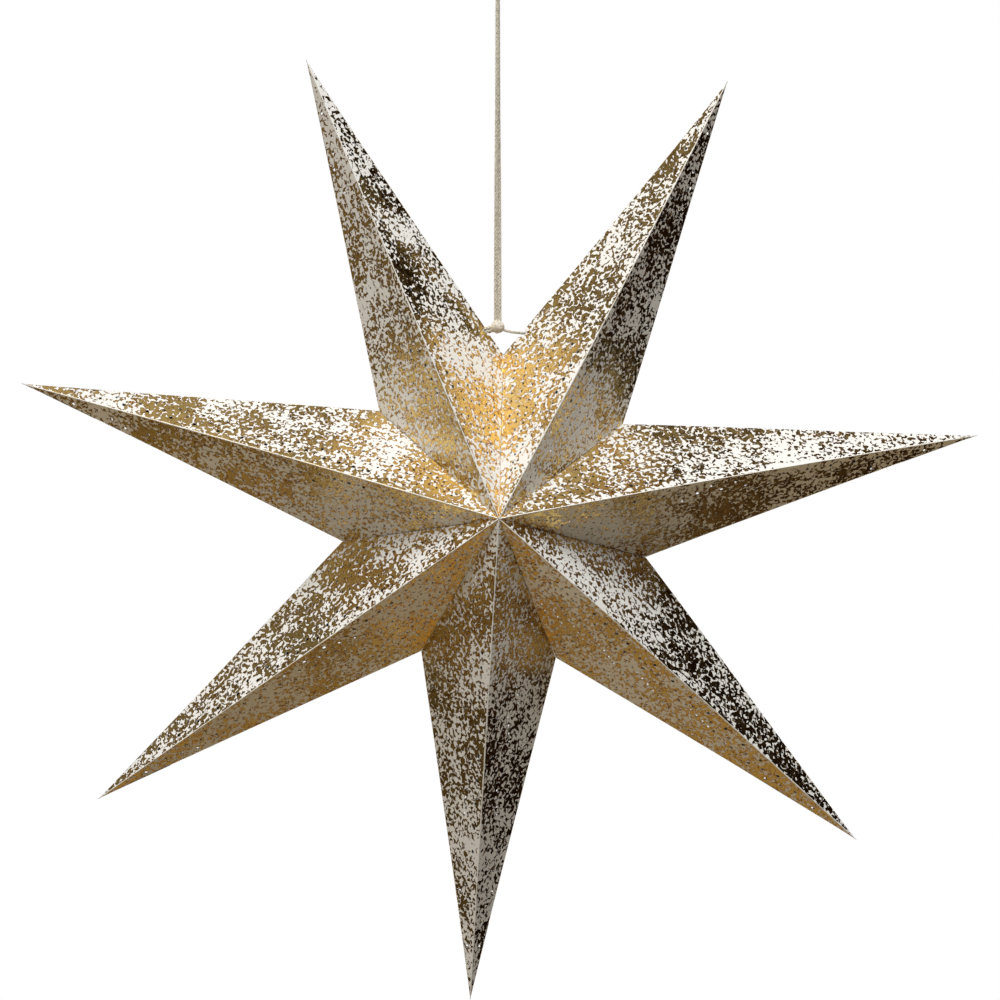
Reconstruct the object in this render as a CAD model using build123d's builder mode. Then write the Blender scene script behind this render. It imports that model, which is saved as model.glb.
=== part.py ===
from build123d import *
from math import cos, hypot, pi, radians, sin, sqrt, tan
import os

# A fold-flat seven-pointed paper star that hangs from a doubled cord. Millimetres, +Z up, the front faces -Y.
# The origin is where the hook bears in the eye of the cord's loop.

# The star: tips and notches lie in one upright plane, half way between the front and the back.
POINTS = 7
TIP_RADIUS = 300.0
NOTCH_RADIUS = 96.8
HALF_DEPTH = 70.0
ROLL = 3.05  # degrees that the star hangs turned clockwise, seen from the front
CENTRE_DROP = 345.0  # from the hook down to the middle of the star

# The card of each arm, and the parts of it that are glued.
CARD = 0.4
FLAP_WIDTH = 12.0
FLAP_FROM_AXIS = 10.0
FLAP_MITRE_GAP = 1.0
LAP_WIDTH = 9.0
LAP_FROM_MIDDLE = 32.0
LAP_FROM_TIP = 40.0

# Light holes along the ridges: a row near the middle, then pairs that slant back from the ridge as chevrons.
LIGHT_HOLE = 2.4
LIGHT_HOLE_SIDES = 4
LIGHT_HOLE_EDGE = 9.5  # least distance from the middle of a hole to a side crease or a valley
INNER_ROW_START = 86.0
INNER_ROW_PITCH = 9.5
INNER_ROW_HOLES = 4
INNER_ROW_FROM_RIDGE = 8.0
CHEVRON_START = 136.0
CHEVRON_PITCH = 15.6
CHEVRON_ROWS = 2
CHEVRON_FROM_RIDGE = 5.9
CHEVRON_ROW_STEP = 4.8
CHEVRON_SLANT = 8.7  # each row of a chevron lies this much nearer to the middle than the row before

# The string and its holes, which are punched through the side creases beside the top notch.
CORD = 2.6
CORD_SIDES = 8
STRING_HOLE = 5.0
STRING_HOLE_FROM_NOTCH = 20.0
STRING_HOLE_REACH = 6.0
SEAT_GAP = 0.3
STOPPER_KNOT = 6.4
KNOT_WIDTH = 8.2
KNOT_HEIGHT = 8.4
KNOT_RISE = 3.2  # from the line of the string holes up to the middle of the knot
STOPPER_SIDES = 12
STRAND_SPREAD = 3.2  # between the middles of the two strands
HOOK = 8.0  # thickness of the hook that the eye of the loop goes round
EYE_NECK = 26.0  # from the hook down to where the strands come together
EYE_SHOULDER = 12.0  # from the hook down to where the eye reaches its full width

# Places that follow from these sizes.
half_step = pi / POINTS
notch_across = NOTCH_RADIUS * sin(half_step)
notch_out = NOTCH_RADIUS * cos(half_step)
root_half_width = notch_across * TIP_RADIUS / (TIP_RADIUS - notch_out)
inner_shift = CARD * TIP_RADIUS * sqrt(1 / root_half_width**2 + 1 / HALF_DEPTH**2 + 1 / TIP_RADIUS**2)
ridge_length = hypot(TIP_RADIUS, HALF_DEPTH)
notch_along = (notch_out * TIP_RADIUS + HALF_DEPTH**2) / ridge_length
notch_from_ridge = sqrt(NOTCH_RADIUS**2 + HALF_DEPTH**2 - notch_along**2)
valley_distance = NOTCH_RADIUS * HALF_DEPTH / hypot(NOTCH_RADIUS, HALF_DEPTH)


def star_plane(turn):
    """A direction of the star, turned clockwise from the top seam: Z points outwards and Y to the back."""
    angle = radians(ROLL) + turn
    return Plane((0, 0, -CENTRE_DROP), x_dir=(cos(angle), 0, -sin(angle)), z_dir=(sin(angle), 0, cos(angle)))


def facet_plane(arm_plane, side, face):
    """The plane of an outer facet: X runs along the ridge to the tip and Z outwards.

    side is -1 for left and 1 for right, face is -1 for front and 1 for back."""
    middle = arm_plane.from_local_coords(Vector(0, face * HALF_DEPTH, 0))
    tip = arm_plane.from_local_coords(Vector(0, 0, TIP_RADIUS))
    notch = arm_plane.from_local_coords(Vector(side * notch_across, 0, notch_out))
    outward = (tip - middle).cross(notch - middle) * (side * face)
    return Plane(middle, x_dir=tip - middle, z_dir=outward)


def distance_from_edges(along, from_ridge):
    """How far a point of a facet lies inside its side crease and its valley, whichever is nearer."""
    side_run = ridge_length - notch_along
    side_room = (ridge_length - along) * notch_from_ridge - from_ridge * side_run
    valley_room = along * notch_from_ridge - from_ridge * notch_along
    return min(
        side_room / hypot(side_run, notch_from_ridge), valley_room / hypot(notch_along, notch_from_ridge)
    )


def light_hole_places():
    """The middles of a facet's light holes: distance along the ridge, and distance from it."""
    inner_row = [INNER_ROW_START + INNER_ROW_PITCH * number for number in range(INNER_ROW_HOLES)]
    places = [(along, INNER_ROW_FROM_RIDGE) for along in inner_row]
    chevrons = int((ridge_length - CHEVRON_START) / CHEVRON_PITCH) + 2
    for number in range(chevrons):
        for row in range(CHEVRON_ROWS):
            along = CHEVRON_START + CHEVRON_PITCH * number - CHEVRON_SLANT * row
            places.append((along, CHEVRON_FROM_RIDGE + CHEVRON_ROW_STEP * row))
    return [place for place in places if distance_from_edges(*place) >= LIGHT_HOLE_EDGE]


def root_outline(share):
    """The four corners of an arm's outline in the plane through the star's middle."""
    width = root_half_width * share
    depth = HALF_DEPTH * share
    return [(width, 0), (0, depth), (-width, 0), (0, -depth)]


def flap_outline(face):
    """A glue flap in the plane between two arms: distance from the star's axis, and depth."""
    outer = 1 - CARD / 2 / valley_distance
    inner = 1 - FLAP_WIDTH / valley_distance
    mitre = FLAP_MITRE_GAP / 2
    corners = []
    for share in (outer, inner):
        run = [
            (FLAP_FROM_AXIS, HALF_DEPTH * (share - FLAP_FROM_AXIS / NOTCH_RADIUS)),
            (NOTCH_RADIUS * (share - mitre / HALF_DEPTH), mitre),
        ]
        corners += run if share == outer else run[::-1]
    return [(out, face * depth) for out, depth in corners]


def lap_outline(turned):
    """The glue lap that closes an arm: distance along the back ridge, and distance from it."""
    start = LAP_FROM_MIDDLE
    end = ridge_length - LAP_FROM_TIP
    root = 2 * CARD
    corners = [(start, root), (end, root), (end - LAP_WIDTH, LAP_WIDTH), (start + LAP_WIDTH, LAP_WIDTH)]
    return [(along, turned * from_ridge) for along, from_ridge in corners]


os.makedirs("parts", exist_ok=True)

# The line of the string holes, in the plane of the top seam.
seam_plane = star_plane(0)
side_crease = Vector(TIP_RADIUS * sin(half_step), 0, TIP_RADIUS * cos(half_step) - NOTCH_RADIUS).normalized()
hole_across = STRING_HOLE_FROM_NOTCH * side_crease.X
hole_up = NOTCH_RADIUS + STRING_HOLE_FROM_NOTCH * side_crease.Z


def string_plane(across):
    """A plane square to the line of the string holes, at a distance to the right of the seam."""
    middle = seam_plane.from_local_coords(Vector(across, 0, hole_up))
    return Plane(middle, x_dir=(0, 1, 0), z_dir=seam_plane.x_dir)


# Seven arms, numbered clockwise from the top seam, each one folded card.
for number in range(1, POINTS + 1):
    arm_plane = star_plane((2 * number - 1) * half_step)
    tip = arm_plane.from_local_coords(Vector(0, 0, TIP_RADIUS))
    inner_tip = arm_plane.from_local_coords(Vector(0, 0, TIP_RADIUS - inner_shift))
    with BuildPart() as arm:
        with BuildSketch(arm_plane, mode=Mode.PRIVATE) as outside:
            Polygon(*root_outline(1), align=None)
        loft(sections=[outside.sketch, Vertex(tip)], ruled=True)
        with BuildSketch(arm_plane, mode=Mode.PRIVATE) as inside:
            Polygon(*root_outline(1 - inner_shift / TIP_RADIUS), align=None)
        loft(sections=[inside.sketch, Vertex(inner_tip)], ruled=True, mode=Mode.SUBTRACT)

        # Only the sector between the two neighbouring arms is kept.
        with BuildSketch(Plane(arm_plane.origin, x_dir=arm_plane.x_dir, z_dir=-arm_plane.y_dir)):
            sector = TIP_RADIUS * tan(half_step)
            Polygon((0, 0), (sector, TIP_RADIUS), (-sector, TIP_RADIUS), align=None)
        extrude(amount=HALF_DEPTH, both=True, mode=Mode.INTERSECT)

        # Glue flaps are folded inwards along the valleys.
        for side in (-1, 1):
            valley = arm_plane.from_local_coords(Vector(side * notch_across, 0, notch_out)) - arm_plane.origin
            inward = arm_plane.y_dir.cross(valley) * -side
            with BuildSketch(Plane(arm_plane.origin, x_dir=valley, z_dir=inward)):
                for face in (-1, 1):
                    Polygon(*flap_outline(face), align=None)
            extrude(amount=CARD)

        # The glue lap lies inside the right back facet.
        lap_side = 1
        lap_face = 1
        with BuildSketch(facet_plane(arm_plane, lap_side, lap_face).offset(-CARD)):
            Polygon(*lap_outline(lap_side * lap_face), align=None)
        extrude(amount=-CARD)

        for side in (-1, 1):
            for face in (-1, 1):
                with BuildSketch(facet_plane(arm_plane, side, face)):
                    with Locations(*[(along, side * face * off) for along, off in light_hole_places()]):
                        RegularPolygon(LIGHT_HOLE / 2, LIGHT_HOLE_SIDES)
                extrude(amount=3 * CARD, both=True, mode=Mode.SUBTRACT)

        # The two arms beside the top seam have a string hole each.
        if number in (1, POINTS):
            with BuildSketch(string_plane(hole_across if number == 1 else -hole_across)):
                Circle(STRING_HOLE / 2)
            extrude(amount=STRING_HOLE_REACH, both=True, mode=Mode.SUBTRACT)
    arm.part.label = f"arm_{number}"
    export_step(arm.part, f"parts/arm_{number}.step")

# The knot sits on the line of the string holes, under the hook.
knot_across = -hole_up * tan(radians(ROLL))
knot_middle = string_plane(knot_across).origin.Z + KNOT_RISE
knot_top = knot_middle + KNOT_HEIGHT / 2
knot_bottom = knot_middle - KNOT_HEIGHT / 2
knot_end = STRAND_SPREAD / 2 + CORD / 2
knot_round = KNOT_HEIGHT / 4
with BuildPart() as main_knot:
    with BuildSketch(Plane.XZ):
        with BuildLine():
            Polyline(
                (0, knot_bottom),
                (knot_end, knot_bottom),
                (KNOT_WIDTH / 2, knot_bottom + knot_round),
                (KNOT_WIDTH / 2, knot_top - knot_round),
                (knot_end, knot_top),
                (0, knot_top),
                close=True,
            )
        make_face()
    revolve(axis=Axis.Z)
main_knot.part.label = "main_knot"
export_step(main_knot.part, "parts/main_knot.step")

# Each end of the string runs from the knot through its hole to a stopper knot that bears inside the arm.
facet_lean = abs(facet_plane(star_plane(half_step), -1, -1).z_dir.dot(seam_plane.x_dir))
stopper_inset = (STOPPER_KNOT / 2 + SEAT_GAP + CARD) / facet_lean
stopper_flat = sqrt(STOPPER_KNOT**2 - CORD**2) / 2
stopper_round = STOPPER_KNOT / 2 * cos(pi / 6)
for side, word in ((-1, "left"), (1, "right")):
    stopper_across = side * (hole_across + stopper_inset)
    run = abs(stopper_across - knot_across) - stopper_flat
    with BuildPart() as tail:
        with BuildSketch(string_plane(knot_across)):
            Circle(CORD / 2)
        extrude(amount=side * run)
    tail.part.label = f"{word}_tail"
    export_step(tail.part, f"parts/{word}_tail.step")

    with BuildPart() as stopper:
        with BuildSketch(string_plane(stopper_across)):
            RegularPolygon(stopper_round, STOPPER_SIDES)
        extrude(amount=stopper_flat, both=True)
        ends = stopper.faces().sort_by(Axis(seam_plane.origin, seam_plane.x_dir))
        chamfer(ends[0].edges() + ends[-1].edges(), stopper_flat - STOPPER_KNOT / 4)
    stopper.part.label = f"{word}_stopper_knot"
    export_step(stopper.part, f"parts/{word}_stopper_knot.step")

# The cord rises from the knot, goes round the hook and comes back down beside itself.
strand = STRAND_SPREAD / 2
eye = HOOK / 2 + CORD / 2
half_route = [
    Vector(0, -strand, knot_top + SEAT_GAP),
    Vector(0, -strand, -EYE_NECK),
    Vector(0, -eye, -EYE_SHOULDER),
    Vector(0, -eye, CORD / 2),
]
route = half_route + [Vector(0, -point.Y, point.Z) for point in reversed(half_route)]
radii = []
for before, corner, after in zip(route, route[1:], route[2:]):
    half_turn = radians((corner - before).get_angle(after - corner)) / 2
    shorter = min((corner - before).length, (after - corner).length)
    radii.append(0.45 * shorter / tan(half_turn))
with BuildPart() as hanging_cord:
    with BuildLine() as cord_line:
        FilletPolyline(*route, radius=radii)
    with BuildSketch(Plane(cord_line.line @ 0, z_dir=cord_line.line % 0)) as cord_section:
        RegularPolygon(CORD / 2, CORD_SIDES)
    sweep(path=cord_line.line)
hanging_cord.part.label = "hanging_cord"
export_step(hanging_cord.part, "parts/hanging_cord.step")

print("light holes in a facet", len(light_hole_places()))
print("cord bend radii", [round(radius, 2) for radius in radii])
cord_length = sum(edge.length for edge in cord_line.edges())
print("cord length", round(cord_length, 2))
tube_volume = cord_length * cord_section.sketch.area
print("cord volume over section times length", round(hanging_cord.part.volume / tube_volume, 4))
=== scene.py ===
from functools import reduce
from math import cos, hypot, pi, radians, sin, sqrt

import bmesh
import bpy
import numpy as np
from mathutils import Matrix, Vector, noise
from mathutils.geometry import delaunay_2d_cdt


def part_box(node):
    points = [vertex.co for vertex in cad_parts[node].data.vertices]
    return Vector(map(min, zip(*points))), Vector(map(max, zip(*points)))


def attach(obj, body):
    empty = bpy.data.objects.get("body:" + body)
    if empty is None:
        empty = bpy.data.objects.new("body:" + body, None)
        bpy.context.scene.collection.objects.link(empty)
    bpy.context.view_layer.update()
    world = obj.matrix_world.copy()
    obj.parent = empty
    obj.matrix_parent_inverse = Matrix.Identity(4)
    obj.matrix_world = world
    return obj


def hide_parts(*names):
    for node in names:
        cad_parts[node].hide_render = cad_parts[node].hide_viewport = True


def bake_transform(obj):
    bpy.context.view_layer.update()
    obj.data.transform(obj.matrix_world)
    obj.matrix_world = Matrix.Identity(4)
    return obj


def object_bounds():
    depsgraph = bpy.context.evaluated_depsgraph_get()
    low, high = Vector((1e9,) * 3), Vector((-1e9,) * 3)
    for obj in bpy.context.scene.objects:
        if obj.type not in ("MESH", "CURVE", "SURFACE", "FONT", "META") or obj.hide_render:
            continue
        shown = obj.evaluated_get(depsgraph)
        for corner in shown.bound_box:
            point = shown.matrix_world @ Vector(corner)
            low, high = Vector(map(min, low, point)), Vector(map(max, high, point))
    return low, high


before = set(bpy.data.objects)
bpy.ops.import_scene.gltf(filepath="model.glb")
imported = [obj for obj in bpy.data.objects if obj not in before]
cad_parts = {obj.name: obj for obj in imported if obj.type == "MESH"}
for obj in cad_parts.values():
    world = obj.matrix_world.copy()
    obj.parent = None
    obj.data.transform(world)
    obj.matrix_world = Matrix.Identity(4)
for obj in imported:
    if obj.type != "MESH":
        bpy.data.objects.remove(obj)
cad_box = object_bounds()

# A perforated paper star with gold foil flecks, hung from a doubled cotton cord.
# Metres, +Z up, the front faces -Y. The origin is where the hook bears in the eye of the cord's loop.

# The star, as in the solids.
POINTS = 7
TIP_RADIUS = 0.300
NOTCH_RADIUS = 0.0968
HALF_DEPTH = 0.070
ROLL = radians(3.05)
CENTRE = Vector((0, 0, -0.345))
BACK = Vector((0, 1, 0))

# The card, its glue flaps and its glue lap.
CARD = 0.0004
FLAP_WIDTH = 0.012
FLAP_FROM_AXIS = 0.010
FLAP_MITRE = 0.0005
LAP_WIDTH = 0.009
LAP_FROM_MIDDLE = 0.032
LAP_FROM_TIP = 0.040
LAP_GAP = 0.00003
SEAM_GAP = 0.00004
SEAM_EASE = 3 * SEAM_GAP  # depth from the seam over which the gap ends
FOLD_BAND = 0.0006  # width beside a crease over which the card rounds
FOLD_DROP = 0.00018  # how far the rounding takes the crease down
VALLEY_DROP = 0.00004
TIP_DRAW = 0.0036  # how far the creasing draws a tip out
TIP_DRAW_FROM = 0.8  # share of the ridge at which that starts
TIP_SWAY = (-0.0034, 0.0028, 0.0026, 0, 0, -0.0022, 0)  # of each arm's tip, clockwise
TIP_SWAY_POWER = 1.5  # by which the sway grows towards the tip
NOTCH_LIFT = 0.0025  # how far the string draws the top notch out
NOTCH_SWAY = -0.0009  # and to the side
BOW = 0.0018  # greatest hollow or crown of a facet
BOW_FULL = 27  # makes the bow full where a facet's three shares are a third each
RIPPLE = 0.0005
RIPPLE_LENGTH = 0.045
ARM_SEED, SIDE_SEED, FACE_SEED = 7.3, 3.1, 5.7  # steps in the noise from one facet to the next
RIPPLE_SEED = 11

# Light holes: a row and chevrons along each ridge, and pin holes on lines that fan out from the middle.
LIGHT_HOLE = 0.0024
LIGHT_HOLE_SIDES = 10
LIGHT_HOLE_EDGE = 0.0032
INNER_ROW_START = 0.086
INNER_ROW_PITCH = 0.0095
INNER_ROW_HOLES = 4
INNER_ROW_FROM_RIDGE = 0.008
CHEVRON_START = 0.136
CHEVRON_PITCH = 0.0156
CHEVRON_ROWS = 3
CHEVRON_FROM_RIDGE = 0.0059
CHEVRON_ROW_STEP = 0.0048
CHEVRON_SLANT = 0.0087
PIN_HOLE = 0.0016
PIN_HOLE_SIDES = 8
PIN_HOLE_EDGE = 0.005
PIN_HOLE_PITCH = 0.0054
PIN_LINES = 7  # sectors between the ridge and the valley, with a line of pin holes between each two
PIN_LINE_STARTS = (0.060, 0.056, 0.031, 0.027, 0.042, 0.050)
PIN_CLEAR = 0.0034  # least distance from a pin hole to a light hole

# The mesh of the card.
RIDGE_STEPS = 26
SIDE_STEPS = 20
FLAP_STEPS = 9
DOT_PITCH = 0.011  # of the points spread over a facet
DOT_EDGE = 0.004  # their least distance from a crease
DOT_CLEAR = 0.0022  # and from the middle of a hole
HULL_TRIANGLES = 0  # what the triangulation is asked for
SAME_POINT = 1e-9
ON_CREASE = 1e-6
WELD = 1e-5
CARD_SHARP = radians(60)  # edges steeper than this are shaded sharp
CORD_SHARP = radians(70)
FAR = 1.0  # stands for a place with no ridge near it
OUTSIDE, INSIDE, EDGE = range(3)  # material slots

# The string, its holes and its knots.
CORD = 0.0026
STRAND = 0.00116  # from the middle of the doubled cord to the middle of a strand
EYE = 0.0053  # the same in the eye of the loop
TAIL = 0.0019
LEFT_TAIL = 0.0029  # the left end is doubled back through its hole
LEFT_STEP = 0.0010  # of its two strands, up and down
STRING_HOLE = 0.005
STRING_HOLE_SIDES = 20
STRING_HOLE_FROM_NOTCH = 0.020
KNOT = 0.0087
KNOT_TALL = 0.0083
KNOT_CORD = 0.0030
KNOT_TURNS = 2.8
KNOT_LEAN = -0.45
KNOT_FILL = 0.98  # share of the knot that its filling takes up
STOPPER_KNOT = 0.0062
STOPPER_CORD = 0.0022
STOPPER_TURNS = 2.2
STOPPER_LEAN = 0.4
STOPPER_INSET = 0.0064  # from a string hole to the stopper knot that bears inside it
WRAP_POINTS = 90
WRAP_REACH = 0.8  # how near to the poles of a knot its winding starts and ends
WRAP_START = -2.2  # angle at which it starts
BALL_STEPS = 12
BALL_SIDES = 20
CORD_SWAY = 0.0010  # of the cord and its knot along the hook
CORD_SINK = 0.0012  # of the cord's ends into the knot
RIGHT_TAIL_DIP = Vector((0.004, 0, -0.0028))  # where the right end leaves the knot
PATH_STEPS = 60  # points of a path from one control point to the next
PATH_ORDER = 3
ANY_WAY = (0.3, 1, 0.2)  # a direction in which no cord starts

# A braid. The sizes of its yarns are shares of the cord's radius.
BRAID_PITCH = 3.8  # cord diameters in which a yarn goes once round
BRAID_STEPS = 18  # points of a yarn in that length
BRAID_YARNS = 4  # wound each way
YARN_LIFT = 0.69  # from the middle of the cord to the middle of a yarn
YARN_WEAVE = 0.07  # by which yarns pass over and under each other
YARN_WIDE = 0.27
YARN_TALL = 0.24
YARN_SIDES = 6
CORE = 0.66
CORE_SIDES = 8
YARN_SLOT, CORE_SLOT = range(2)  # material slots

# Places that follow from these sizes.
half_step = pi / POINTS
notch_across = NOTCH_RADIUS * sin(half_step)
notch_out = NOTCH_RADIUS * cos(half_step)
ridge_length = hypot(TIP_RADIUS, HALF_DEPTH)
notch_along = (notch_out * TIP_RADIUS + HALF_DEPTH**2) / ridge_length
notch_from_ridge = sqrt(NOTCH_RADIUS**2 + HALF_DEPTH**2 - notch_along**2)
side_length = hypot(ridge_length - notch_along, notch_from_ridge)
valley_length = hypot(notch_along, notch_from_ridge)
valley_distance = NOTCH_RADIUS * HALF_DEPTH / valley_length
string_way = Vector((cos(ROLL), 0, -sin(ROLL)))
seam_way = Vector((sin(ROLL), 0, cos(ROLL)))
notch_shift = seam_way * NOTCH_LIFT + string_way * NOTCH_SWAY
side_crease = Vector((TIP_RADIUS * sin(half_step), TIP_RADIUS * cos(half_step) - NOTCH_RADIUS))
side_crease.normalize()

# A facet in its own plane: X along the ridge from the middle of the star, Y from the ridge to the notch.
FACET_MIDDLE = Vector((0, 0))
FACET_TIP = Vector((ridge_length, 0))
FACET_NOTCH = Vector((notch_along, notch_from_ridge))
facet_rim = ridge_length + side_length + valley_length
facet_inner_radius = ridge_length * notch_from_ridge / facet_rim
facet_inner_middle = (
    FACET_MIDDLE * side_length + FACET_TIP * valley_length + FACET_NOTCH * ridge_length
) / facet_rim


def link(name, data):
    piece = bpy.data.objects.new(name, data)
    bpy.context.scene.collection.objects.link(piece)
    return piece


def from_side(place):
    """Distance of a facet's point inside the side crease."""
    room = (ridge_length - place.x) * notch_from_ridge - place.y * (ridge_length - notch_along)
    return room / side_length


def from_valley(place):
    """Distance of a facet's point inside the valley."""
    return (place.x * notch_from_ridge - place.y * notch_along) / valley_length


def from_creases(place):
    """Distances of a facet's point from its three creases."""
    return {"ridge": place.y, "side": from_side(place), "valley": from_valley(place)}


def light_holes():
    """Middles of a facet's large holes."""
    places = [
        Vector((INNER_ROW_START + INNER_ROW_PITCH * number, INNER_ROW_FROM_RIDGE))
        for number in range(INNER_ROW_HOLES)
    ]
    chevrons = int((ridge_length - CHEVRON_START) / CHEVRON_PITCH) + CHEVRON_ROWS
    for number in range(chevrons):
        for row in range(CHEVRON_ROWS):
            along = CHEVRON_START + CHEVRON_PITCH * number - CHEVRON_SLANT * row
            places.append(Vector((along, CHEVRON_FROM_RIDGE + CHEVRON_ROW_STEP * row)))
    return [place for place in places if from_side(place) >= LIGHT_HOLE_EDGE]


def pin_holes(large):
    """Middles of a facet's small holes, clear of the large ones and of the creases."""
    places = []
    spread = Vector((1, 0)).angle(FACET_NOTCH) / PIN_LINES
    for line, start in enumerate(PIN_LINE_STARTS, 1):
        heading = Vector((cos(line * spread), sin(line * spread)))
        offset = PIN_HOLE_PITCH / 2 * (line % 2)
        for number in range(int(ridge_length / PIN_HOLE_PITCH)):
            place = heading * (start + offset + number * PIN_HOLE_PITCH)
            clear = min((place - other).length for other in large) >= PIN_CLEAR
            if clear and min(from_side(place), from_valley(place)) >= PIN_HOLE_EDGE:
                places.append(place)
    return places


def corner_turns(sides):
    """Angles at which the corners of a regular outline lie."""
    return [2 * pi * k / sides for k in range(sides)]


def ring(middle, radius, sides):
    return [middle + Vector((cos(turn), sin(turn))) * radius for turn in corner_turns(sides)]


def run(start, end, shares):
    return [start.lerp(end, share) for share in shares]


ridge_shares = [k / RIDGE_STEPS for k in range(RIDGE_STEPS)]
side_shares = [k / SIDE_STEPS for k in range(SIDE_STEPS)]
flap_first = FLAP_FROM_AXIS / NOTCH_RADIUS
flap_last = 1 - FLAP_MITRE / HALF_DEPTH
flap_shares = [flap_first + (flap_last - flap_first) * k / FLAP_STEPS for k in range(FLAP_STEPS + 1)]


def triangulate(loops, dots):
    """Triangles of the hull of closed loops and loose points, and the loops of each of its points."""
    points, edges, owner = [], [], []
    for number, loop in enumerate(loops):
        first = len(points)
        edges += [(first + k, first + (k + 1) % len(loop)) for k in range(len(loop))]
        points += loop
        owner += [number] * len(loop)
    points += dots
    owner += [None] * len(dots)
    places, _, faces, origins, _, _ = delaunay_2d_cdt(points, edges, [], HULL_TRIANGLES, SAME_POINT)
    owners = [{owner[k] for k in origin if owner[k] is not None} for origin in origins]
    return places, faces, owners


def perforate(loops, holes, dots, keep):
    """A flat sheet inside the first of the loops, open at the holes: its points and triangles."""
    places, faces, owners = triangulate(loops + holes, dots)
    first = len(loops)
    kept = []
    for face in faces:
        shared = set.intersection(*[owners[k] for k in face])
        middle = sum((places[k] for k in face), Vector((0, 0))) / 3
        if not any(number >= first for number in shared) and keep(middle):
            kept.append(face)
    used = sorted({k for face in kept for k in face})
    number = {k: n for n, k in enumerate(used)}
    return [places[k] for k in used], [[number[k] for k in face] for face in kept]


def grid_dots(holes):
    """Points spread over a facet, away from its edges and holes, to carry the facet's bow."""
    dots = []
    for row in range(int(notch_from_ridge / DOT_PITCH) + 1):
        for step in range(int(ridge_length / DOT_PITCH) + 1):
            dot = Vector(((step + row % 2 / 2) * DOT_PITCH, (row + 0.5) * DOT_PITCH))
            inside = min(from_creases(dot).values()) > DOT_EDGE
            if inside and min((dot - hole).length for hole in holes) > DOT_CLEAR:
                dots.append(dot)
    return dots


large_holes = light_holes()
small_holes = pin_holes(large_holes)
hole_rings = [ring(place, LIGHT_HOLE / 2, LIGHT_HOLE_SIDES) for place in large_holes]
hole_rings += [ring(place, PIN_HOLE / 2, PIN_HOLE_SIDES) for place in small_holes]
facet_dots = grid_dots(large_holes + small_holes)
facet_edge = run(FACET_MIDDLE, FACET_TIP, ridge_shares) + run(FACET_TIP, FACET_NOTCH, side_shares)
facet_edge += run(FACET_NOTCH, FACET_MIDDLE, [0] + [1 - share for share in reversed(flap_shares)])
facet_bands = []
for width in (FOLD_BAND, 2 * FOLD_BAND):
    share = 1 - width / facet_inner_radius
    facet_bands.append([facet_inner_middle.lerp(place, share) for place in facet_edge])

# The string hole is round along the string's own line, so it is an ellipse on the facets that it cuts.
string_hole_along = STRING_HOLE_FROM_NOTCH - NOTCH_LIFT / side_crease.y
string_middle = FACET_NOTCH.lerp(FACET_TIP, string_hole_along / side_length)


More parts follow.
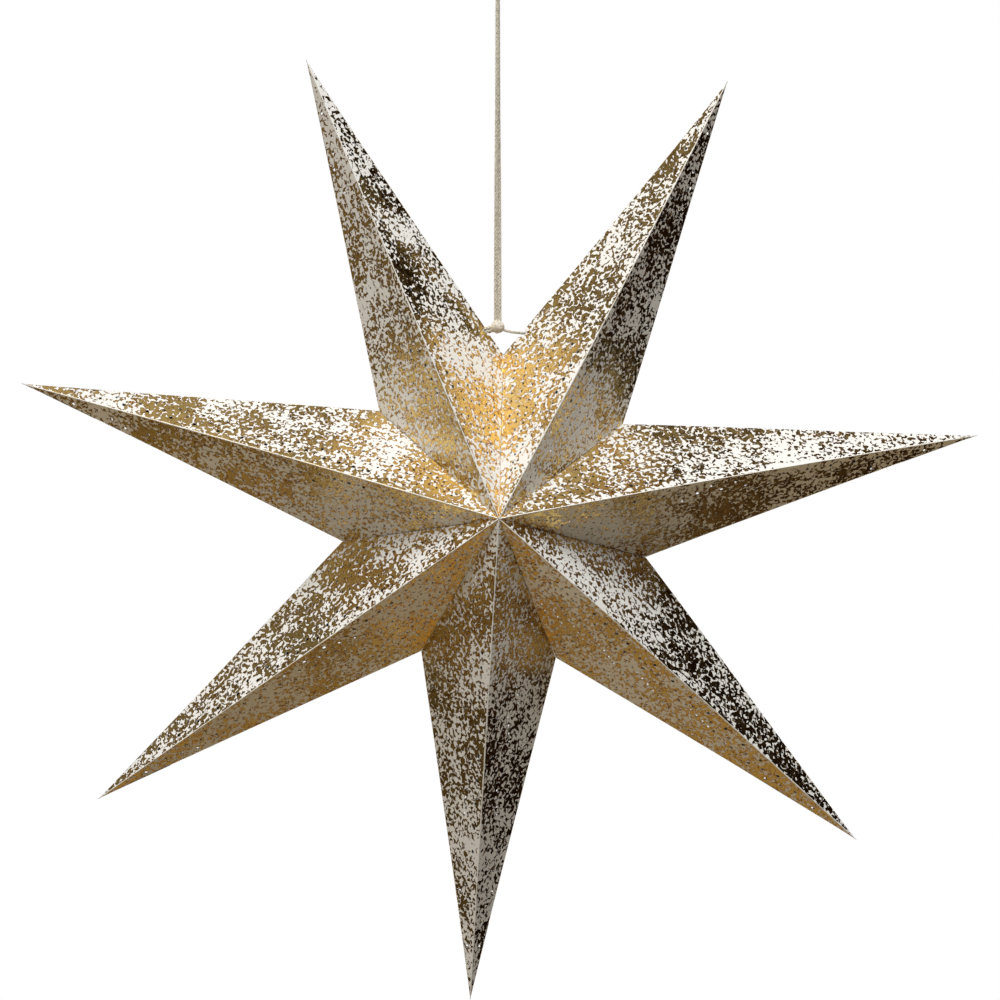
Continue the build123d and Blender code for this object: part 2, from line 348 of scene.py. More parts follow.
class Facet:
    """One of an arm's four facets, placed in the star: side is -1 for left, face is -1 for front."""

    def __init__(self, number, side, face):
        angle = ROLL + (2 * number - 1) * half_step
        self.out = Vector((sin(angle), 0, cos(angle)))
        self.across = Vector((cos(angle), 0, -sin(angle)))
        self.side = side
        self.face = face
        self.number = number
        self.strung = (number, side) in ((1, -1), (POINTS, 1))
        self.middle = CENTRE + BACK * (face * HALF_DEPTH)
        self.tip = CENTRE + self.out * TIP_RADIUS
        self.notch = CENTRE + self.across * (side * notch_across) + self.out * notch_out
        ridge = self.tip - self.middle
        self.along = ridge.normalized()
        self.normal = (ridge.cross(self.notch - self.middle) * (side * face)).normalized()
        self.off = self.normal.cross(self.along) * (side * face)
        self.seam = self.across * (side * cos(half_step)) - self.out * sin(half_step)
        self.mirrored = {
            "ridge": self.normal - self.across * (2 * self.normal.dot(self.across)),
            "side": self.normal - BACK * (2 * self.normal.dot(BACK)),
            "valley": self.seam,
        }

    def bow(self, place):
        """How far the card stands out from its flat facet. It is flat along the creases."""
        notch_share = place.y / notch_from_ridge
        tip_share = (place.x - notch_along * notch_share) / ridge_length
        middle_share = 1 - notch_share - tip_share
        swell = max(0.0, BOW_FULL * notch_share * tip_share * middle_share)
        seed = Vector((self.number * ARM_SEED, self.side * SIDE_SEED, self.face * FACE_SEED))
        spot = Vector((place.x, place.y, 0)) / RIPPLE_LENGTH
        ripple = RIPPLE * noise.noise(spot + seed * RIPPLE_SEED)
        return swell * (BOW * noise.noise(seed) + ripple)

    def place(self, spot):
        """A point of the facet in the star, with the card's bow, its round creases and its drawn tip."""
        point = self.middle + self.along * spot.x + self.off * spot.y + self.normal * self.bow(spot)
        for crease, distance in from_creases(spot).items():
            if distance < FOLD_BAND / 2:
                drop = VALLEY_DROP if crease == "valley" else FOLD_DROP
                point -= (self.normal + self.mirrored[crease]).normalized() * drop
        drawn = max(0, spot.x / ridge_length - TIP_DRAW_FROM) / (1 - TIP_DRAW_FROM)
        swayed = max(0, spot.x - notch_along) / (ridge_length - notch_along)
        point += self.out * (TIP_DRAW * drawn**2)
        point += self.across * (TIP_SWAY[self.number - 1] * swayed**TIP_SWAY_POWER)
        depth = (CENTRE - point).dot(self.seam)
        if depth < SEAM_EASE:
            point -= self.seam * (SEAM_GAP * (1 - max(depth, 0) / SEAM_EASE))
        if self.strung:
            point += notch_shift * (spot.y / notch_from_ridge)
        return point

    def inset(self, spot):
        """From a point outside to the inside, one card's thickness from each plane that it lies in."""
        normals = [self.normal]
        for crease, distance in from_creases(spot).items():
            if distance < ON_CREASE:
                normals.append(self.mirrored[crease])
        if len(normals) == 3:
            return Matrix(normals).inverted() @ Vector((-CARD, -CARD, -CARD))
        total = sum(normals, Vector())
        return total * (-CARD / total.dot(self.normal))

    def spread(self, spot):
        """The same point on the unfolded card, in metres: the ridge of the front is its middle line."""
        flat = Vector((spot.x, spot.y))
        if self.face > 0:
            square = Vector((notch_from_ridge, ridge_length - notch_along)) / side_length
            flat += square * (2 * from_side(spot))
        return (flat.x, self.side * flat.y)

    def string_ring(self):
        """The outline of the string hole on this facet."""
        lean = string_way.dot(self.normal)
        level = (string_way - self.normal * lean).normalized()
        wide = Vector((level.dot(self.along), level.dot(self.off)))
        tall = Vector((-wide.y, wide.x))
        radius = STRING_HOLE / 2
        outline = []
        for turn in corner_turns(STRING_HOLE_SIDES):
            across, along = radius * cos(turn) / abs(lean), radius * sin(turn)
            outline.append(string_middle + wide * across + tall * along)
        return outline


def inside_loop(loop, place):
    """Whether a point lies inside a convex loop."""
    turns = [(b - a).cross(place - a) for a, b in zip(loop, loop[1:] + loop[:1])]
    return min(turns) > 0 or max(turns) < 0


plain_sheet = perforate([facet_edge, *facet_bands], hole_rings, facet_dots, lambda place: True)


def holed_sheet(facet):
    """The sheet of a facet that the string goes through."""
    hole = facet.string_ring()
    inside = [loop for loop in hole_rings if not any(inside_loop(hole, place) for place in loop)]
    dots = [dot for dot in facet_dots if not inside_loop(hole, dot)]
    return perforate(
        [facet_edge, *facet_bands, hole],
        inside,
        dots,
        lambda place: from_side(place) > 0 and not inside_loop(hole, place),
    )


def lap_sheet():
    """The glue lap that closes an arm, with the light holes punched through it too."""
    start, end = LAP_FROM_MIDDLE, ridge_length - LAP_FROM_TIP
    root = 2 * CARD
    corners = [(start, root), (end, root), (end - LAP_WIDTH, LAP_WIDTH), (start + LAP_WIDTH, LAP_WIDTH)]
    outline = [Vector(corner) for corner in corners]
    holes = [loop for loop in hole_rings if all(inside_loop(outline, place) for place in loop)]
    return perforate([outline], holes, [], lambda place: True)


class Sheet:
    """Gathers the points and faces of an arm's card before it is given its thickness."""

    def __init__(self):
        self.points, self.insets, self.faces, self.slots = [], [], [], []
        self.spread, self.from_ridge = [], []

    def add(self, points, insets, faces, flip, slot, spread, from_ridge):
        first = len(self.points)
        self.points += points
        self.insets += insets
        self.faces += [[first + k for k in (reversed(face) if flip else face)] for face in faces]
        self.slots += [slot] * len(faces)
        self.spread += spread
        self.from_ridge += from_ridge


# Where each arm's card is cut from the printed sheet, in metres.
CARD_PLACES = (
    (49.078, 64.054),
    (56.280, 73.758),
    (89.144, 26.350),
    (87.996, 86.204),
    (83.466, 29.768),
    (76.526, 58.842),
    (49.818, 86.256),
)


def add_facet(sheet, facet, places, faces):
    flip = facet.side * facet.face < 0
    right, up = CARD_PLACES[facet.number - 1]
    spread = [(x + right, y + up) for x, y in map(facet.spread, places)]
    points = [facet.place(place) for place in places]
    insets = [facet.inset(place) for place in places]
    sheet.add(points, insets, faces, flip, OUTSIDE, spread, [place.y for place in places])


def add_flap(sheet, facet):
    """A glue flap, folded inwards from the valley along the seam between two arms."""
    share_in = 1 - FLAP_WIDTH / valley_distance
    last = share_in - FLAP_MITRE / HALF_DEPTH
    outer = [facet.place(FACET_MIDDLE.lerp(FACET_NOTCH, share)) for share in flap_shares]
    valley_out = (facet.notch - CENTRE).normalized()
    inner = []
    for k in range(FLAP_STEPS + 1):
        share = flap_first + (last - flap_first) * k / FLAP_STEPS
        depth = facet.face * HALF_DEPTH * (share_in - share)
        inner.append(CENTRE + valley_out * (NOTCH_RADIUS * share) + BACK * depth - facet.seam * SEAM_GAP)
        if facet.strung:
            inner[-1] += notch_shift * share
    count = len(outer)
    faces = [(k, k + 1, count + k + 1, count + k) for k in range(count - 1)]
    flip = facet.side * facet.face > 0
    insets = [facet.inset(FACET_MIDDLE.lerp(FACET_NOTCH, share)) for share in flap_shares]
    insets += [facet.seam * -CARD] * count
    unprinted = [(0, 0)] * (2 * count)
    sheet.add(outer + inner, insets, faces, flip, OUTSIDE, unprinted, [FAR] * (2 * count))


def add_lap(sheet, facet):
    places, faces = lap_sheet()
    lift = facet.normal * (CARD + LAP_GAP)
    points = [facet.place(place) - lift for place in places]
    flip = facet.side * facet.face < 0
    count = len(points)
    insets = [facet.normal * -CARD] * count
    sheet.add(points, insets, faces, flip, INSIDE, [(0, 0)] * count, [FAR] * count)


def thicken(work, inset):
    """Gives the card its thickness, inwards, with material slots for the insides and the cut edges."""
    skin = work.faces[:]
    rim = [edge for edge in work.edges if len(edge.link_faces) == 1]
    inner = {}
    for vert in work.verts[:]:
        inner[vert] = work.verts.new(vert.co + vert[inset])
    for face in skin:
        lining = work.faces.new([inner[vert] for vert in reversed(face.verts)])
        lining.material_index = INSIDE
    for edge in rim:
        loop = edge.link_loops[0]
        start, end = loop.vert, loop.link_loop_next.vert
        wall = work.faces.new((end, start, inner[start], inner[end]))
        wall.material_index = EDGE


def make_arm(number, materials):
    sheet = Sheet()
    for side in (-1, 1):
        for face in (-1, 1):
            facet = Facet(number, side, face)
            add_facet(sheet, facet, *(holed_sheet(facet) if facet.strung else plain_sheet))
            add_flap(sheet, facet)
            if side > 0 and face > 0:
                add_lap(sheet, facet)
    mesh = bpy.data.meshes.new(f"arm_{number}_card")
    mesh.from_pydata(sheet.points, [], sheet.faces)
    mesh.polygons.foreach_set("material_index", sheet.slots)
    spread = mesh.uv_layers.new(name="card").data
    for loop in mesh.loops:
        spread[loop.index].uv = sheet.spread[loop.vertex_index]
    mesh.attributes.new("from_ridge", "FLOAT", "POINT").data.foreach_set("value", sheet.from_ridge)
    insets = mesh.attributes.new("inset", "FLOAT_VECTOR", "POINT")
    insets.data.foreach_set("vector", [value for inset in sheet.insets for value in inset])
    work = bmesh.new()
    work.from_mesh(mesh)
    bmesh.ops.remove_doubles(work, verts=work.verts, dist=WELD)
    thicken(work, work.verts.layers.float_vector["inset"])
    work.to_mesh(mesh)
    work.free()
    mesh.attributes.remove(mesh.attributes["inset"])
    mesh.shade_smooth()
    mesh.set_sharp_from_angle(angle=CARD_SHARP)
    for material in materials:
        mesh.materials.append(material)
    piece = link(f"arm_{number}_card", mesh)
    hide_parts(f"arm_{number}")
    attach(piece, "star")


def smooth_path(name, points):
    """Points along a smooth line: a NURBS spline with the points of a route as its control points."""
    curve = bpy.data.curves.new(name, "CURVE")
    curve.dimensions = "3D"
    curve.resolution_u = PATH_STEPS
    spline = curve.splines.new("NURBS")
    spline.points.add(len(points) - 1)
    for control, point in zip(spline.points, points):
        control.co = (*point, 1)
    spline.order_u = PATH_ORDER
    spline.use_endpoint_u = True
    line = link(name, curve)
    graph = bpy.context.evaluated_depsgraph_get()
    mesh = bpy.data.meshes.new_from_object(line.evaluated_get(graph))
    path = np.array([vert.co for vert in mesh.vertices])
    bpy.data.objects.remove(line)
    bpy.data.curves.remove(curve)
    bpy.data.meshes.remove(mesh)
    return path


def even_steps(path, step):
    """The path again, with points evenly spaced by about a step."""
    lengths = np.concatenate([[0], np.cumsum(np.linalg.norm(np.diff(path, axis=0), axis=1))])
    count = max(int(round(lengths[-1] / step)), 2)
    marks = np.linspace(0, lengths[-1], count + 1)
    return np.stack([np.interp(marks, lengths, path[:, axis]) for axis in range(3)], axis=1), marks


def unit(vectors):
    return vectors / np.linalg.norm(vectors, axis=-1, keepdims=True)


def carried_frame(path):
    """Two directions square to a path at each of its points, that turn no more than the path does."""
    ahead = unit(np.gradient(path, axis=0))
    start = np.cross(ahead[0], ANY_WAY)
    sides = [start / np.linalg.norm(start)]
    for way in ahead[1:]:
        side = sides[-1] - way * np.dot(sides[-1], way)
        sides.append(side / np.linalg.norm(side))
    sides = np.array(sides)
    return sides, np.cross(ahead, sides)


class Tubes:
    """Gathers closed tubes into one mesh."""

    def __init__(self):
        self.points, self.faces, self.slots = [], [], []

    def add(self, rings, slot):
        """A tube through rings of points, all with the same count, closed at both ends."""
        first = sum(len(points) for points in self.points)
        steps, sides = rings.shape[:2]
        self.points.append(rings.reshape(-1, 3))
        self.slots += [slot] * ((steps - 1) * sides + 2)
        for row in range(steps - 1):
            for k in range(sides):
                a, b = first + row * sides + k, first + row * sides + (k + 1) % sides
                self.faces.append((a, b, b + sides, a + sides))
        self.faces.append(tuple(first + k for k in reversed(range(sides))))
        self.faces.append(tuple(first + (steps - 1) * sides + k for k in range(sides)))

    def piece(self, name, materials):
        mesh = bpy.data.meshes.new(name)
        mesh.from_pydata(np.concatenate(self.points).tolist(), [], self.faces)
        mesh.polygons.foreach_set("material_index", self.slots)
        for material in materials:
            mesh.materials.append(material)
        mesh.shade_smooth()
        mesh.set_sharp_from_angle(angle=CORD_SHARP)
        return link(name, mesh)


def add_braid(tubes, path, diameter):
    """A braided cord: a core, and yarns wound both ways that pass over and under each other."""
    pitch = BRAID_PITCH * diameter
    path, marks = even_steps(path, pitch / BRAID_STEPS)
    across, up = carried_frame(path)
    radius = diameter / 2
    turns = 2 * pi * marks / pitch
    for way in (1, -1):
        lift = radius * (YARN_LIFT + YARN_WEAVE * way * np.cos(BRAID_YARNS * turns))
        for yarn in range(BRAID_YARNS):
            angle = way * turns + 2 * pi * yarn / BRAID_YARNS
            outward = across * np.cos(angle)[:, None] + up * np.sin(angle)[:, None]
            line = path + outward * lift[:, None]
            ahead = unit(np.gradient(line, axis=0))
            wide = unit(np.cross(ahead, outward))
            tall = np.cross(wide, ahead) * (YARN_TALL * radius)
            wide = wide * (YARN_WIDE * radius)
            rings = [line + wide * cos(turn) + tall * sin(turn) for turn in corner_turns(YARN_SIDES)]
            tubes.add(np.stack(rings, axis=1), YARN_SLOT)
    across, up = across * (CORE * radius), up * (CORE * radius)
    core = [path + across * cos(turn) + up * sin(turn) for turn in corner_turns(CORE_SIDES)]
    tubes.add(np.stack(core, axis=1), CORE_SLOT)


def add_ball(tubes, middle, width, height):
    """The filling of a knot: a closed ball, a little flat."""
    rings = []
    for step in range(BALL_STEPS):
        fall = pi * (step + 0.5) / BALL_STEPS
        reach, rise = width / 2 * sin(fall), -height / 2 * cos(fall)
        ways = [(reach * cos(turn), reach * sin(turn), rise) for turn in corner_turns(BALL_SIDES)]
        rings.append(np.array(middle) + np.array(ways))
    tubes.add(np.array(rings), YARN_SLOT)


def wrapped_ball(middle, width, height, cord, turns, lean):
    """The line of a cord wound into a ball: a spiral that swells to the middle, leaning to one side."""
    shares = np.linspace(0, 1, WRAP_POINTS)
    reach = 2 * shares - 1
    swell = (width - cord) / 2 * np.sqrt(1 - (WRAP_REACH * reach) ** 2)
    angle = 2 * pi * turns * shares + WRAP_START
    x, y, z = swell * np.cos(angle), swell * np.sin(angle), (cord - height) / 2 * reach
    tilted = np.stack([x * cos(lean) + z * sin(lean), y, z * cos(lean) - x * sin(lean)], axis=1)
    return tilted + np.array(middle)


def node(tree, kind, inputs=(), **settings):
    """A node with its settings, and its inputs by name or number: each a value or a node's output."""
    made = tree.nodes.new(kind)
    for name, value in settings.items():
        setattr(made, name, value)
    for name, value in dict(inputs).items():
        if isinstance(value, bpy.types.NodeSocket):
            tree.links.new(value, made.inputs[name])
        else:
            made.inputs[name].default_value = value
    return made


def sums(tree, operation, *values):
    return node(tree, "ShaderNodeMath", dict(enumerate(values)), operation=operation).outputs[0]


def ramp(tree, value, low, high, to_low=0.0, to_high=1.0):
    """The value from low to high as a smooth step."""
    inputs = {"Value": value, "From Min": low, "From Max": high, "To Min": to_low, "To Max": to_high}
    return node(tree, "ShaderNodeMapRange", inputs, interpolation_type="SMOOTHSTEP").outputs["Result"]


def speckle(tree, vector, kind, space="2D"):
    """Noise of a kind: its scale per metre, detail, roughness and distortion."""
    inputs = {"Vector": vector, **dict(zip(("Scale", "Detail", "Roughness", "Distortion"), kind))}
    return node(tree, "ShaderNodeTexNoise", inputs, noise_dimensions=space).outputs["Fac"]


def between(tree, share, first, second):
    """A value between two values."""
    return node(tree, "ShaderNodeMix", {0: share, 2: first, 3: second}).outputs[0]


def mixed(tree, share, first, second):
    """A colour between two colours."""
    made = node(tree, "ShaderNodeMix", data_type="RGBA")
    for socket, value in ((made.inputs[0], share), (made.inputs[6], first), (made.inputs[7], second)):
        if isinstance(value, bpy.types.NodeSocket):
            tree.links.new(value, socket)
        else:
            socket.default_value = (*value, 1) if isinstance(value, tuple) else value
    return made.outputs[2]


def shaded(color, share):
    return tuple(share * part for part in color)


def new_material(name):
    material = bpy.data.materials.new(name)
    material.use_nodes = True
    return material, material.node_tree, material.node_tree.nodes["Principled BSDF"]


def add_bump(tree, shader, height, strength, distance):
    bump = node(tree, "ShaderNodeBump", {"Height": height, "Strength": strength, "Distance": distance})
    tree.links.new(bump.outputs["Normal"], shader.inputs["Normal"])


# The printed card. Noises are a scale per metre, a detail, a roughness and a distortion.
PAPER = (0.87, 0.855, 0.805)
PAPER_SHADE = 0.95  # of the paper between its fibres
PAPER_ROUGH = 0.8
GOLD = (0.90, 0.68, 0.27)
DEEP_GOLD = (0.42, 0.20, 0.06)
FOIL_ROUGH = (0.16, 0.25)
FLECKS = (400, 1.5, 0.5, 0.5)
PATCHES = (22, 2, 0.5, 0)
CLOUDS = (85, 2, 0.5, 0)
FIBRES = (900, 3, 0.6, 0)
FIBRE_LEVELS = (0.35, 0.65)  # from the shade between fibres to the paper's own colour
CRINKLES = (160, 2, 0.5, 0)
CRINKLE_LEVELS = (0.3, 0.7)  # from the smoothest foil to the roughest
PATCH_SHARE = 0.50  # in how close the flecks are
CLOUD_SHARE = 0.38
FLECK_SHIFT = -0.420  # sets how much of the card is foil
FLECK_EDGE = (0.49, 0.51)  # levels from paper to foil
FLECK_GOLD = (0.51, 0.63)  # levels from deep gold to gold
WEAR = (110, 3, 0.6, 0)
WEAR_REACH = 0.0012  # by which the edge of the worn band varies
WEAR_EDGE = (0.0010, 0.0013)  # distances from a ridge from bare paper to foil
FOIL_RELIEF = 0.35  # beside a relief of 1 for the crinkles
FIBRE_RELIEF = 0.25
CARD_BUMP = (0.35, 0.0001)  # strength and distance

# The bare card. Its insides are painted dark brown as the shade inside the closed star, so that the
# holes look dark; its cut edges are pale.
PAINTED_SHADE_INSIDE = (0.26, 0.23, 0.18)
CUT_EDGE = (0.86, 0.84, 0.79)
BOARD_SHADE = 0.9
BOARD_ROUGH = 0.85
BOARD_BUMP = (0.3, 0.00005)
CARD_DEPTH = 0.002  # to which light goes into it
CARD_DEPTHS = (1.0, 0.85, 0.65)  # of red, green and blue
CLEAR_CARD = (0.10, 0.16)  # distances from the star's middle from dense card to clear

# Cotton yarn with painted shade in the hollows between its fibres, and the core of the cord, painted
# darker as the shade that its yarns cast on it.
YARN = (0.92, 0.87, 0.75)
YARN_HOLLOW_SHADE = (0.68, 0.62, 0.50)
CORE_PAINTED_SHADE = (0.42, 0.37, 0.28)
CORE_HOLLOW_SHADE = (0.27, 0.23, 0.17)
YARN_FIBRES = (3500, 3, 0.6, 0)
YARN_FIBRE_LEVELS = (0.3, 0.6)  # from the hollows to the yarn's own colour
MOTTLE = (800, 2, 0.6, 0)
MOTTLE_LEVELS = (0.40, 0.56)
MOTTLE_SHADE = 0.55
YARN_ROUGH = 0.9
YARN_SHEEN = 0.15
YARN_BUMP = (0.5, 0.0001)


def foil_card_material():
    """White card with fine wormy flecks of gold foil, closer in some patches, worn off the ridges."""
    material, tree, shader = new_material("card_foil")
    card = node(tree, "ShaderNodeUVMap", uv_map="card").outputs["UV"]
    fleck = speckle(tree, card, FLECKS)
    patch = sums(tree, "MULTIPLY", speckle(tree, card, PATCHES), PATCH_SHARE)
    density = sums(tree, "MULTIPLY_ADD", speckle(tree, card, CLOUDS), CLOUD_SHARE, patch)
    over = sums(tree, "ADD", fleck, sums(tree, "ADD", density, FLECK_SHIFT))
    ridge = node(tree, "ShaderNodeAttribute", attribute_name="from_ridge").outputs["Fac"]
    wear = sums(tree, "MULTIPLY", speckle(tree, card, WEAR), WEAR_REACH)
    unworn = ramp(tree, sums(tree, "ADD", ridge, wear), *WEAR_EDGE)
    mask = sums(tree, "MULTIPLY", ramp(tree, over, *FLECK_EDGE), unworn)
    fibre = speckle(tree, card, FIBRES)
    paper = mixed(tree, ramp(tree, fibre, *FIBRE_LEVELS), shaded(PAPER, PAPER_SHADE), PAPER)
    gold = mixed(tree, ramp(tree, over, *FLECK_GOLD), DEEP_GOLD, GOLD)
    tree.links.new(mixed(tree, mask, paper, gold), shader.inputs["Base Color"])
    tree.links.new(mask, shader.inputs["Metallic"])
    crinkle = speckle(tree, card, CRINKLES)
    foil_rough = ramp(tree, crinkle, *CRINKLE_LEVELS, *FOIL_ROUGH)
    tree.links.new(between(tree, mask, PAPER_ROUGH, foil_rough), shader.inputs["Roughness"])
    relief = sums(tree, "MULTIPLY_ADD", fibre, FIBRE_RELIEF, crinkle)
    add_bump(tree, shader, sums(tree, "MULTIPLY_ADD", mask, FOIL_RELIEF, relief), *CARD_BUMP)
    return material


def plain_card_material(name, color):
    """The bare card of the insides and the cut edges, which lets some light through further out."""
    material, tree, shader = new_material(name)
    place = node(tree, "ShaderNodeTexCoord").outputs["Object"]
    fibre = speckle(tree, place, FIBRES, "3D")
    tree.links.new(mixed(tree, fibre, shaded(color, BOARD_SHADE), color), shader.inputs["Base Color"])
    shader.inputs["Roughness"].default_value = BOARD_ROUGH
    away = node(tree, "ShaderNodeVectorMath", {0: place, 1: CENTRE}, operation="DISTANCE")
    clear = ramp(tree, away.outputs["Value"], *CLEAR_CARD)
    tree.links.new(clear, shader.inputs["Subsurface Weight"])
    shader.inputs["Subsurface Radius"].default_value = CARD_DEPTHS
    shader.inputs["Subsurface Scale"].default_value = CARD_DEPTH
    add_bump(tree, shader, fibre, *BOARD_BUMP)
    return material


def cotton_material(name, light, dark):
    """Natural cotton yarn, with painted shade in the hollows between the fibres."""
    material, tree, shader = new_material(name)
    place = node(tree, "ShaderNodeTexCoord").outputs["Object"]
    fibre = speckle(tree, place, YARN_FIBRES, "3D")
    mottle = ramp(tree, speckle(tree, place, MOTTLE, "3D"), *MOTTLE_LEVELS)
    clean = mixed(tree, mottle, shaded(light, MOTTLE_SHADE), light)
    color = mixed(tree, ramp(tree, fibre, *YARN_FIBRE_LEVELS), dark, clean)
    tree.links.new(color, shader.inputs["Base Color"])
    shader.inputs["Roughness"].default_value = YARN_ROUGH
    shader.inputs["Sheen Weight"].default_value = YARN_SHEEN
    add_bump(tree, shader, fibre, *YARN_BUMP)
    return material


paper_card = [
    foil_card_material(),
    # painted shade: the insides are coloured dark so that the holes through the card look dark
    plain_card_material("card_inside", PAINTED_SHADE_INSIDE),
    plain_card_material("card_edge", CUT_EDGE),
]
cotton = [
    cotton_material("cotton", YARN, YARN_HOLLOW_SHADE),
    # painted shade: the core of the cord is coloured darker, as the shade between its yarns
    cotton_material("cotton_core_shade", CORE_PAINTED_SHADE, CORE_HOLLOW_SHADE),
]

for number in range(1, POINTS + 1):
    make_arm(number, paper_card)

# The line of the string holes, and the knot on it under the hook.
hole_across = STRING_HOLE_FROM_NOTCH * side_crease.x
hole_up = NOTCH_RADIUS + STRING_HOLE_FROM_NOTCH * side_crease.y
knot_low, knot_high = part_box("main_knot")
knot_middle = (knot_low + knot_high) / 2 + string_way * CORD_SWAY
knot_top = knot_high.z


def on_string(across):
    return CENTRE + seam_way * hole_up + string_way * across


# The doubled cord: side by side at the knot, one behind the other above it, and open at the eye.
half_route = [
    (-STRAND, 0, knot_top - CORD_SINK),
    (-STRAND, -0.0001, -0.205),
    (-0.0011, -0.0005, -0.182),
    (-0.00095, -0.0008, -0.152),
    (-0.00075, -STRAND, -0.122),
    (-0.00045, -0.0013, -0.092),
    (-0.0003, -STRAND, -0.046),
    (-0.0002, -STRAND, -0.026),
    (0, -EYE, -0.012),
    (0, -EYE, CORD / 2),
]
route = half_route + [(-x, -y, z) for x, y, z in reversed(half_route)]
route = [(x + CORD_SWAY, y, z) for x, y, z in route]
cord_path = smooth_path("cord_line", route)
tubes = Tubes()
add_braid(tubes, cord_path, CORD)
cord = tubes.piece("cord_braid", cotton)
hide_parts("hanging_cord")
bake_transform(cord)


def string_piece(name, lines, replaced, filling=None):
    """A part of the string that hangs with the knot: braided lines, each a path and a diameter."""
    tubes = Tubes()
    for path, diameter in lines:
        add_braid(tubes, path, diameter)
    if filling:
        add_ball(tubes, *filling)
    piece = tubes.piece(name, cotton)
    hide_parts(replaced)
    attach(piece, "yoke")


knot_line = wrapped_ball(knot_middle, KNOT, KNOT_TALL, KNOT_CORD, KNOT_TURNS, KNOT_LEAN)
knot_filling = (knot_middle, KNOT_FILL * KNOT, KNOT_FILL * KNOT_TALL)
string_piece("knot_braid", [(knot_line, KNOT_CORD)], "main_knot", knot_filling)
right_end = on_string(hole_across + STOPPER_INSET)
right_route = [knot_middle, knot_middle + RIGHT_TAIL_DIP, on_string(hole_across), right_end]
string_piece("right_tail_braid", [(smooth_path("right_tail_line", right_route), TAIL)], "right_tail")
left_end = on_string(-hole_across - STOPPER_INSET)
left_lines = []
for step in (-LEFT_STEP, LEFT_STEP):
    shift = Vector((0, 0, step))
    left_route = [knot_middle + shift, on_string(-hole_across) + shift, left_end + shift]
    left_lines.append((smooth_path("left_tail_line", left_route), LEFT_TAIL))
string_piece("left_tail_braid", left_lines, "left_tail")
for word, end in (("left", left_end), ("right", right_end)):
    line = wrapped_ball(end, STOPPER_KNOT, STOPPER_KNOT, STOPPER_CORD, STOPPER_TURNS, STOPPER_LEAN)
    string_piece(f"{word}_stopper_braid", [(line, STOPPER_CORD)], f"{word}_stopper_knot")


def aim(thing, way, distance):
    """Stands a camera or a lamp some way from the middle of the star, turned towards it."""
    thing.location = CENTRE + way * distance
    thing.rotation_mode = "QUATERNION"
    thing.rotation_quaternion = (-way).to_track_quat("-Z", "Y")


# The camera stands where the photograph was taken from.
CAMERA_DISTANCE = 1.5
CAMERA_AZIMUTH = radians(-1.41)
CAMERA_ELEVATION = radians(1.96)
CAMERA_LENS = 87.2
CAMERA_SHIFT = (0.0039, 0.0146)
camera = link("camera", bpy.data.cameras.new("camera"))
level = cos(CAMERA_ELEVATION)
camera_way = Vector((sin(CAMERA_AZIMUTH) * level, -cos(CAMERA_AZIMUTH) * level, sin(CAMERA_ELEVATION)))
aim(camera, camera_way, CAMERA_DISTANCE)
camera.data.lens = CAMERA_LENS
camera.data.shift_x, camera.data.shift_y = CAMERA_SHIFT
bpy.context.scene.camera = camera

# Soft studio light: a large lamp above the front, and one behind that isn't mirrored in the foil.
KEY_WAY = Vector((0.04, -0.5, 0.86)).normalized()
KEY_POWER = 51
BACK_WAY = Vector((0, 0.99, 0.12)).normalized()
BACK_POWER = 55
LAMP_DISTANCE = 2.5
LAMP_SIZE = 1.5

# Parts of the room, as spans of a heading along X, Y, Z or to either side: from where a part starts
# to where it is full.
ABOVE = {"Z": (0.0, 0.8)}
BELOW = {"Z": (-0.85, -0.97)}
UPPER = {"Z": (-0.5, 0.4)}
LEVEL = {"Z": (-0.25, -0.05)}
NOT_RIGHT = {"X": (0.7, -0.1)}
UNDER_LEFT = {"X": (0.48, 0.25), "Z": (-0.75, -0.93)}
ABOVE_LEFT = {"X": (0.10, -0.08), "Z": (0.75, 0.95)}
FRONT_PANELS = {"Y": (0.05, -0.15), "Z": (0.65, 0.85), "side": (0.12, 0.30)}
FRONT_WALL = {"Y": (-0.08, -0.45)}
BACKDROP = {"Y": (0.48, 0.85)}
RIGHT = {"X": (0.02, 0.30), "Z": (-0.6, -0.3)}
FAR_RIGHT = {"X": (0.3, 0.6)}

# How bright the room is to paper, by its parts, and what colour.
ROOM = 0.08
ROOM_PARTS = ((0.20, ABOVE), (1.1, BELOW))
ROOM_LEFT = 0.70
ROOM_LEFT_WAY = (-0.72, -0.48, 0.50)  # towards the pale side of the room
ROOM_LEFT_POWER = 2
WHITE = (1.0, 1.0, 1.0)
WARM = (1.0, 0.72, 0.36)  # light from below

# The same for the foil.
FOIL_ROOM = 0.005
FOIL_ROOM_LEFT = 0.12
FOIL_ROOM_PARTS = (
    (0.05, NOT_RIGHT),
    (0.27, UNDER_LEFT),
    (0.57, FRONT_PANELS),
    (0.26, FRONT_WALL),  # which no facet mirrors to the camera at rest
    (0.36, ABOVE_LEFT),
)
FOIL_TINT = (1.0, 0.88, 0.72)
FOIL_SHADE = (1.0, 0.42, 0.32)  # colour of the dark side

# The floor.
FLOOR_DROP = 0.42  # from the lowest tip to the floor
FLOOR_RADIUS = 8
FLOOR_SIDES = 64
FLOOR_COLOR = (0.86, 0.85, 0.83, 1)
FLOOR_ROUGH = 0.9
FLOOR_FADE = (0.45, 1.1)  # distances from its middle from floor to background


def make_lamp(name, way, power, in_foil):
    lamp = link(name, bpy.data.lights.new(name, "AREA"))
    lamp.data.shape = "DISK"
    lamp.data.size = LAMP_SIZE
    lamp.data.energy = power
    lamp.visible_glossy = in_foil
    aim(lamp, way, LAMP_DISTANCE)


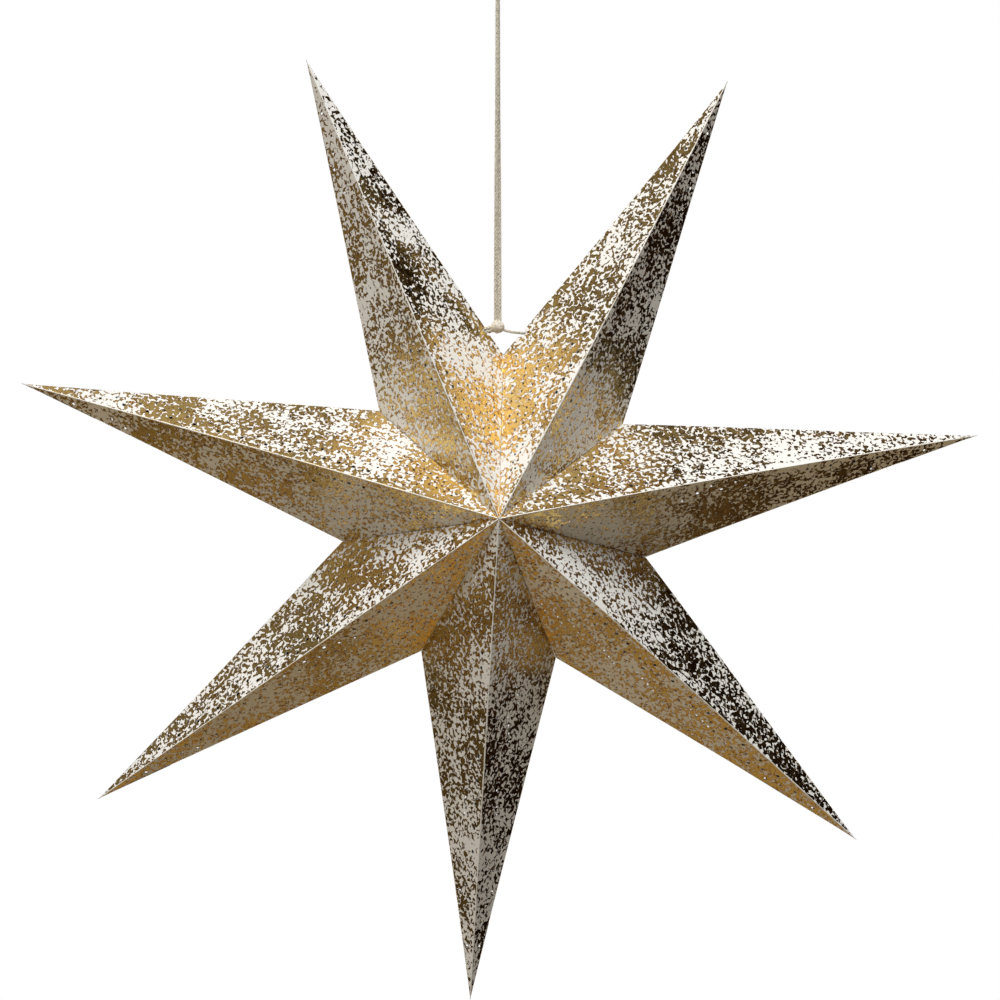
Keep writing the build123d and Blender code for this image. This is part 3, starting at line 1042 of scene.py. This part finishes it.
def within(tree, way, spans):
    """How far a heading lies in a part of the room: in all of its spans."""
    shares = [ramp(tree, way[axis], *span) for axis, span in spans.items()]
    return reduce(lambda first, second: sums(tree, "MULTIPLY", first, second), shares)


def add_parts(tree, way, brightness, parts):
    """A brightness with that of some parts of the room added."""
    for strength, spans in parts:
        brightness = sums(tree, "MULTIPLY_ADD", within(tree, way, spans), strength, brightness)
    return brightness


def make_world():
    """White to the camera, through clear things and, for foil, at the backdrop. Dim elsewhere."""
    world = bpy.data.worlds.new("studio")
    bpy.context.scene.world = world
    world.use_nodes = True
    tree = world.node_tree
    background = tree.nodes["Background"]
    rays = node(tree, "ShaderNodeLightPath").outputs
    in_foil = rays["Is Glossy Ray"]
    heading = node(tree, "ShaderNodeTexCoord").outputs["Generated"]
    axes = node(tree, "ShaderNodeSeparateXYZ", {0: heading}).outputs
    way = {axis: axes[axis] for axis in "XYZ"}
    way["side"] = sums(tree, "ABSOLUTE", axes["X"])
    left = sums(tree, "MAXIMUM", sums(tree, "MULTIPLY", axes["X"], -1), 0)

    pale = node(tree, "ShaderNodeVectorMath", {0: heading, 1: ROOM_LEFT_WAY}, operation="DOT_PRODUCT")
    pale = sums(tree, "POWER", sums(tree, "MAXIMUM", pale.outputs["Value"], 0), ROOM_LEFT_POWER)
    room = sums(tree, "MULTIPLY_ADD", pale, ROOM_LEFT, ROOM)
    room = add_parts(tree, way, room, ROOM_PARTS)
    left = sums(tree, "MULTIPLY", left, within(tree, way, LEVEL))
    foil_room = sums(tree, "MULTIPLY_ADD", left, FOIL_ROOM_LEFT, FOIL_ROOM)
    foil_room = add_parts(tree, way, foil_room, FOIL_ROOM_PARTS)
    open_ray = sums(tree, "MAXIMUM", rays["Is Camera Ray"], rays["Is Transmission Ray"])
    backdrop = sums(tree, "MULTIPLY", in_foil, within(tree, way, BACKDROP))
    open_ray = sums(tree, "MAXIMUM", open_ray, backdrop)
    strength = between(tree, open_ray, between(tree, in_foil, room, foil_room), 1.0)
    tree.links.new(strength, background.inputs["Strength"])

    upper = within(tree, way, UPPER)
    paper_color = mixed(tree, upper, WARM, WHITE)
    foil_color = mixed(tree, upper, WARM, FOIL_TINT)
    shade = sums(tree, "MAXIMUM", within(tree, way, RIGHT), within(tree, way, FAR_RIGHT))
    foil_color = mixed(tree, shade, foil_color, FOIL_SHADE)
    foil_color = mixed(tree, within(tree, way, FRONT_WALL), foil_color, FOIL_TINT)
    foil_color = mixed(tree, within(tree, way, FRONT_PANELS), foil_color, WHITE)
    color = mixed(tree, in_foil, paper_color, foil_color)
    tree.links.new(mixed(tree, open_ray, color, WHITE), background.inputs["Color"])


def make_floor():
    """A pale floor that takes the star's shadow, and turns into the white background further out."""
    mesh = bpy.data.meshes.new("floor")
    height = cad_box[0].z - FLOOR_DROP
    corners = [(*corner, height) for corner in ring(Vector((0, 0)), FLOOR_RADIUS, FLOOR_SIDES)]
    mesh.from_pydata(corners, [], [range(FLOOR_SIDES)])
    floor = link("floor", mesh)
    floor.visible_diffuse = False
    floor.visible_glossy = False
    material, tree, shader = new_material("floor")
    shader.inputs["Base Color"].default_value = FLOOR_COLOR
    shader.inputs["Roughness"].default_value = FLOOR_ROUGH
    mesh.materials.append(material)
    place = node(tree, "ShaderNodeTexCoord").outputs["Object"]
    flat = node(tree, "ShaderNodeVectorMath", {0: place, 1: (1, 1, 0)}, operation="MULTIPLY").outputs[0]
    away = node(tree, "ShaderNodeVectorMath", {0: flat}, operation="LENGTH").outputs["Value"]
    fade = ramp(tree, away, *FLOOR_FADE)
    white = node(tree, "ShaderNodeEmission", {"Color": (*WHITE, 1), "Strength": 1.0}).outputs[0]
    mix = node(tree, "ShaderNodeMixShader", {0: fade, 1: shader.outputs[0], 2: white})
    tree.links.new(mix.outputs[0], tree.nodes["Material Output"].inputs["Surface"])


make_lamp("key", KEY_WAY, KEY_POWER, True)
make_lamp("back", BACK_WAY, BACK_POWER, False)
make_world()
make_floor()

bpy.context.scene.view_settings.view_transform = "Standard"
